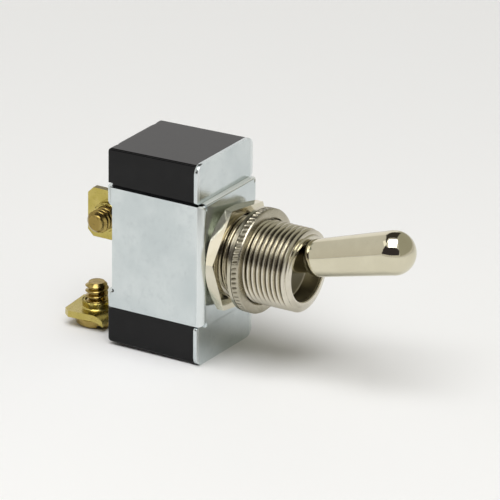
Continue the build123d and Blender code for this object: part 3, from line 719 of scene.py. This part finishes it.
def make_ring_nut(material):
    """Ring nut: a rim with slanting knurl grooves of uneven depth behind a smooth front edge."""
    rear = RING_BEVEL - RING_T
    front = -RING_FRONT_BEVEL
    outline = [(-RING_T, RING_BORE_R), (-RING_T, RING_R - RING_BEVEL), (rear, RING_R)]
    for step in range(1, KNURL_ROWS):
        outline.append((rear + (front - rear) * step / KNURL_ROWS, RING_R))
    outline += [(front, RING_R), (front * RING_ROUND_AT, RING_R - RING_FRONT_BEVEL * ROUNDING)]
    outline += [(0, RING_R - RING_FRONT_BEVEL)]
    outline += [(0, RING_BORE_R + NUT_FLARE), (-NUT_FLARE, RING_BORE_R)]
    bm = spun_ring(outline, KNURL_COUNT * KNURL_STEPS)
    draw = random.Random(KNURL_SEED)
    depths = [KNURL_DEPTH * draw.uniform(KNURL_SHALLOWEST, 1.0) for _ in range(KNURL_COUNT)]
    shifts = [draw.uniform(-KNURL_SHIFT, KNURL_SHIFT) for _ in range(KNURL_COUNT)]
    for v in bm.verts:
        r = math.hypot(v.co.y, v.co.z)
        if r < RING_R - KNURL_TOUCH:
            continue
        across = (v.co.x - rear) / (front - rear)
        turn = math.atan2(v.co.z, v.co.y) / (2 * math.pi) * KNURL_COUNT + KNURL_SLANT * across
        index = math.floor(turn) % KNURL_COUNT
        phase = turn - math.floor(turn) - 0.5 + shifts[index]
        cut = max(0.0, 1.0 - abs(phase) / KNURL_HALF)
        fade = min(1.0, across / KNURL_RISE, (1.0 - across) / KNURL_FADE)
        sunk = r - depths[index] * cut * max(0.0, fade)
        v.co.y *= sunk / r
        v.co.z *= sunk / r
    return finished("knurled_ring_nut", bm, material, "ring_nut_body", "nickel", "ring_nut")


# The camera

def camera_axes():
    """Right, up and back of the camera."""
    az, el, roll = (math.radians(a) for a in (CAMERA_AZ, CAMERA_EL, CAMERA_ROLL))
    back = Vector((math.sin(az) * math.cos(el), -math.cos(az) * math.cos(el), math.sin(el)))
    level = Vector((math.cos(az), math.sin(az), 0))
    upright = back.cross(level)
    right = math.cos(roll) * level + math.sin(roll) * upright
    up = -math.sin(roll) * level + math.cos(roll) * upright
    return right, up, back


def add_camera():
    right, up, back = camera_axes()
    at = CAMERA_SHIFT[0] * right + CAMERA_SHIFT[1] * up + CAMERA_DISTANCE * back
    at += Vector((CAMERA_AIM_X, 0, 0))
    data = bpy.data.cameras.new("camera")
    data.sensor_width = CAMERA_SENSOR
    data.lens = CAMERA_LENS
    data.clip_start = CAMERA_NEAR * MM
    data.clip_end = CAMERA_FAR * MM
    camera = bpy.data.objects.new("camera", data)
    turn = Matrix((right, up, back)).transposed().to_4x4()
    camera.matrix_world = Matrix.Translation(at * MM) @ turn
    bpy.context.scene.collection.objects.link(camera)
    bpy.context.scene.camera = camera


# Light and floor

def direction(az, el):
    """Unit vector for an azimuth from +X and an elevation, in degrees."""
    az, el = math.radians(az), math.radians(el)
    return Vector((math.cos(el) * math.cos(az), math.cos(el) * math.sin(az), math.sin(el)))


def facing(toward, across_az):
    """Turn of a card that faces the object, its width lying towards an azimuth."""
    width = direction(across_az, 0)
    width = (width - width.dot(toward) * toward).normalized()
    return Matrix((width, toward.cross(width), toward)).transposed().to_4x4()


def add_key_light():
    """Square softbox high in front of the near side."""
    data = bpy.data.lights.new("key", "AREA")
    data.shape = "RECTANGLE"
    data.size = KEY_SIDE
    data.size_y = KEY_SIDE
    data.energy = KEY_POWER
    lamp = bpy.data.objects.new("key", data)
    toward = direction(KEY_AZ, KEY_EL)
    lamp.matrix_world = Matrix.Translation(toward * KEY_DISTANCE) @ facing(toward, KEY_ACROSS_AZ)
    bpy.context.scene.collection.objects.link(lamp)


def patch(f, way, corners, soft):
    """Mask of the part of the surroundings between corners, each an azimuth and an elevation."""
    ways = [direction(*corner) for corner in corners]
    middle = sum(ways, Vector())
    inside = 1.0
    for start, end in zip(ways, ways[1:] + ways[:1]):
        edge = start.cross(end).normalized()
        if edge.dot(middle) < 0:
            edge.negate()
        side = f.node("ShaderNodeVectorMath", {"operation": "DOT_PRODUCT"}, {0: way, 1: tuple(edge)}, out=1)
        inside = f.step(side, -soft / 2, soft / 2) * inside
    return inside


def make_world():
    """Studio round the object, with the patches of its surroundings."""
    world = bpy.data.worlds.new("studio")
    bpy.context.scene.world = world
    f = Finish(world)
    way = f.node("ShaderNodeTexCoord", out="Generated")
    height = f.split(way)[2]
    tone = f.node("ShaderNodeValToRGB", {"stops": STUDIO}, {0: height * 0.5 + 0.5})
    for corners, soft, shade in SURROUNDINGS:
        tone = f.blend(patch(f, way, corners, soft), tone, shade)
    shader = f.node("ShaderNodeBackground", None, {"Color": tone, "Strength": 1.0})
    f.node("ShaderNodeOutputWorld", None, {"Surface": shader})


def make_floor():
    """Pale floor under the case and the lower screw, with painted light that makes it a little brighter
    towards the front.
    """
    f = new_finish("pale_floor")
    x, y, _ = f.split(f.place())
    # Painted light: the floor's tone rises towards the front
    painted_front_light = f.step(x * FLOOR_WAY[0] - y * FLOOR_WAY[1], FLOOR_FAR_AT, FLOOR_NEAR_AT)
    tone = f.blend(painted_front_light, FLOOR_FAR, FLOOR_NEAR)
    material = f.surface(Base_Color=tone, Roughness=0.9)
    bm = bmesh.new()
    bmesh.ops.create_grid(bm, x_segments=1, y_segments=1, size=FLOOR_SIZE)
    bmesh.ops.translate(bm, vec=(0, 0, FLOOR_Z * MM), verts=bm.verts)
    mesh = bpy.data.meshes.new("floor")
    bm.to_mesh(mesh)
    bm.free()
    mesh.materials.append(material)
    floor = bpy.data.objects.new("floor", mesh)
    bpy.context.scene.collection.objects.link(floor)


# Assembly

zinc = make_zinc()
lever_nickel = make_nickel("nickel_lever", (0.66, 0.62, 0.475), (0.70, 0.66, 0.51), 0.03)
hex_nickel = make_nickel("nickel_hexagon", (0.66, 0.62, 0.49), (0.72, 0.68, 0.56), 0.08, 0.4)
nut_nickel = make_nickel("nickel_nuts", (0.52, 0.485, 0.38), (0.62, 0.58, 0.47), 0.16, 0.8)
bushing_nickel = make_bushing_metal()
brass_tones = ((0.485, 0.40, 0.105), (0.565, 0.47, 0.152), (0.31, 0.22, 0.06))
brass = make_brass("rolled_brass", *brass_tones, 0.4, 0.16)
# Brass with painted shade on its upward faces, for the upright blade
top_shaded_brass = make_brass("brass_painted_dark_top", *brass_tones, 0.4, 0.16, 0.85)
screw_tones = ((0.325, 0.235, 0.07), (0.44, 0.33, 0.11), (0.12, 0.08, 0.025))
screw_brass = make_brass("dark_brass", *screw_tones, 0.6, 0.13)
finishes = {
    "zinc_steel": zinc,
    "phenolic": make_phenolic(),
    "fibre": make_fibre(),
    "brass": brass,
    "brass_screw": screw_brass,
    "silver": make_plain_metal("contact_silver", (0.80, 0.80, 0.78), 0.2),
    "copper": make_plain_metal("bare_copper", (0.62, 0.36, 0.22), 0.25),
    "plunger_plastic": make_nylon(),
    "spring_steel": make_plain_metal("drawn_wire", (0.5, 0.5, 0.5), 0.25),
    "nickel": nut_nickel,
}
own_finish = {"lever": lever_nickel, "hex_nut": hex_nickel, "upper_terminal": top_shaded_brass}
slots = {part["node"]: part["material_slot"] for part in frame["record"]["subparts"]}
for name, node in nodes.items():
    finish = own_finish.get(name, finishes[slots[name]])
    for holder in node.material_slots:
        holder.material = finish

make_bushing(bushing_nickel)
make_ring_nut(make_knurl_metal())
upright = Matrix.Translation(UPPER_SCREW_AT) @ Matrix.Rotation(math.radians(-90), 4, "Z")
make_screw("upper_terminal_screw", upright, "upper_screw_body", "upper_screw", screw_brass)
turned = Matrix.Rotation(math.radians(LOWER_BLADE_YAW + LOWER_SCREW_TURN), 4, "Z")
lying = Matrix.Translation(LOWER_SCREW_AT) @ turned @ Matrix.Rotation(math.radians(-90), 4, "Y")
make_screw("lower_terminal_screw", lying, "lower_screw_body", "lower_screw", screw_brass)
make_collar("upper_collar", upright, UPPER_COLLAR_SEED, brass)
make_collar("lower_collar", lying, LOWER_COLLAR_SEED, brass)
soften("frame", FRAME_EDGE)

make_floor()
make_world()
add_key_light()
add_camera()
bpy.context.scene.view_settings.view_transform = "Standard"
